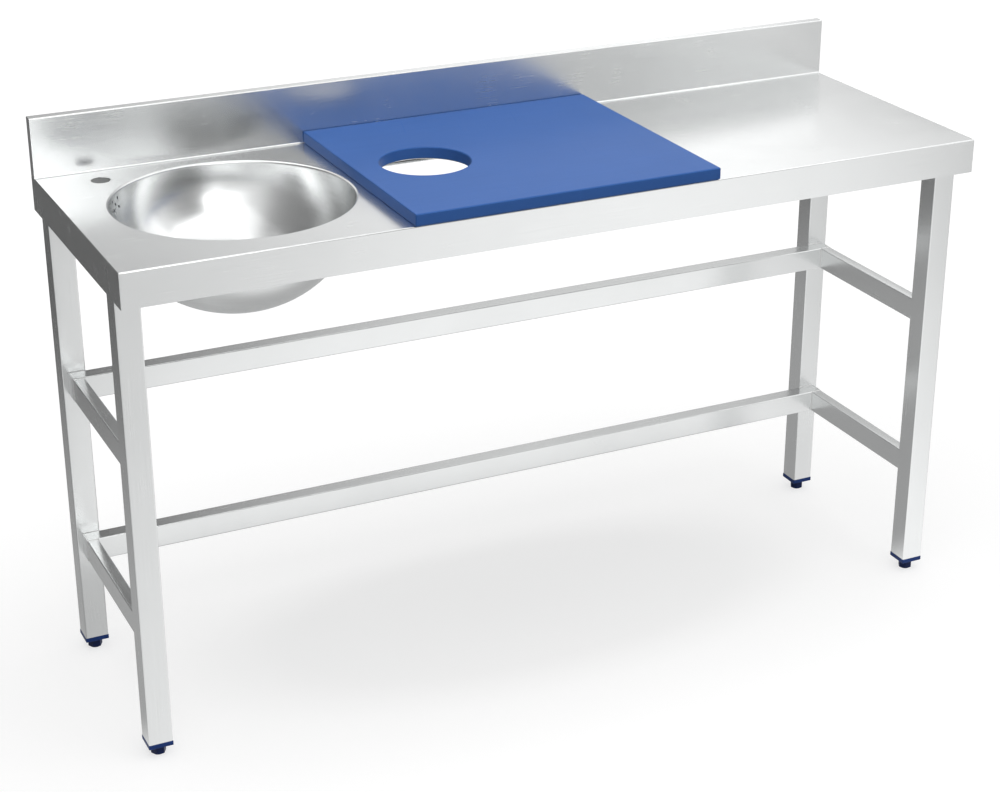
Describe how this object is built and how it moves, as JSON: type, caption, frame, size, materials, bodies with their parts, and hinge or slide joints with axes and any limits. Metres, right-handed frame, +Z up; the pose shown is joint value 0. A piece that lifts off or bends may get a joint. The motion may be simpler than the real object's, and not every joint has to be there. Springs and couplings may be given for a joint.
{
  "type": "sink table",
  "caption": "Freestanding stainless steel fish-cleaning table with rear upstand, round sink bowl, tap hole, lift-off cutting board with waste hole, tube frame and adjustable feet.",
  "frame": {"origin": "Floor level, under the middle of the bounding box.", "axes": "+X to the user's right along the worktop, +Y to the wall behind the upstand, +Z up."},
  "size_m": [1.5, 0.503, 0.95],
  "materials": {
    "sheet_steel": "brushed",
    "bowl_steel": "spun, semi-bright",
    "zinc_steel": "bright zinc",
    "blue_polyethylene": "fine matt",
    "plug_plastic": "moulded satin",
    "foot_plastic": "moulded satin",
    "gasket_rubber": "matt"
  },
  "bodies": {
    "base": {"channel_left": "sheet_steel", "channel_right": "sheet_steel", "drain_backnut": "plug_plastic", "drain_gasket": "gasket_rubber", "drain_strainer": "bowl_steel", "foot_nut_front_left": "zinc_steel", "foot_nut_front_right": "zinc_steel", "foot_nut_rear_left": "zinc_steel", "foot_nut_rear_right": "zinc_steel", "leg_bolt_front_left_far": "zinc_steel", "leg_bolt_front_left_near": "zinc_steel", "leg_bolt_front_right_far": "zinc_steel", "leg_bolt_front_right_near": "zinc_steel", "leg_bolt_rear_left_far": "zinc_steel", "leg_bolt_rear_left_near": "zinc_steel", "leg_bolt_rear_right_far": "zinc_steel", "leg_bolt_rear_right_near": "zinc_steel", "leg_front_left": "sheet_steel", "leg_front_right": "sheet_steel", "leg_plate_front_left": "sheet_steel", "leg_plate_front_right": "sheet_steel", "leg_plate_rear_left": "sheet_steel", "leg_plate_rear_right": "sheet_steel", "leg_plug_front_left": "plug_plastic", "leg_plug_front_right": "plug_plastic", "leg_plug_rear_left": "plug_plastic", "leg_plug_rear_right": "plug_plastic", "leg_rear_left": "sheet_steel", "leg_rear_right": "sheet_steel", "overflow_box": "foot_plastic", "rear_stretcher_cap_lower_left": "sheet_steel", "rear_stretcher_cap_lower_right": "sheet_steel", "rear_stretcher_cap_upper_left": "sheet_steel", "rear_stretcher_cap_upper_right": "sheet_steel", "rear_stretcher_lower": "sheet_steel", "rear_stretcher_upper": "sheet_steel", "side_stretcher_lower_left": "sheet_steel", "side_stretcher_lower_right": "sheet_steel", "side_stretcher_upper_left": "sheet_steel", "side_stretcher_upper_right": "sheet_steel", "sink_bowl": "bowl_steel", "stiffener_centre": "sheet_steel", "stiffener_right": "sheet_steel", "upstand_end_left": "sheet_steel", "upstand_end_right": "sheet_steel", "worktop_sheet": "sheet_steel"},
    "board": {"cutting_board": "blue_polyethylene"},
    "foot_front_left": {"foot_front_left": "foot_plastic"},
    "foot_front_right": {"foot_front_right": "foot_plastic"},
    "foot_rear_left": {"foot_rear_left": "foot_plastic"},
    "foot_rear_right": {"foot_rear_right": "foot_plastic"}
  },
  "joints": [
    {"name": "board_lift", "type": "slide", "parent": "base", "child": "board", "axis": [0, 0, 1], "range_m": [0, 0.15]},
    {"name": "foot_front_left_screw", "type": "slide", "parent": "base", "child": "foot_front_left", "axis": [0, 0, -1], "range_m": [0, 0.025]},
    {"name": "foot_front_right_screw", "type": "slide", "parent": "base", "child": "foot_front_right", "axis": [0, 0, -1], "range_m": [0, 0.025]},
    {"name": "foot_rear_left_screw", "type": "slide", "parent": "base", "child": "foot_rear_left", "axis": [0, 0, -1], "range_m": [0, 0.025]},
    {"name": "foot_rear_right_screw", "type": "slide", "parent": "base", "child": "foot_rear_right", "axis": [0, 0, -1], "range_m": [0, 0.025]}
  ]
}
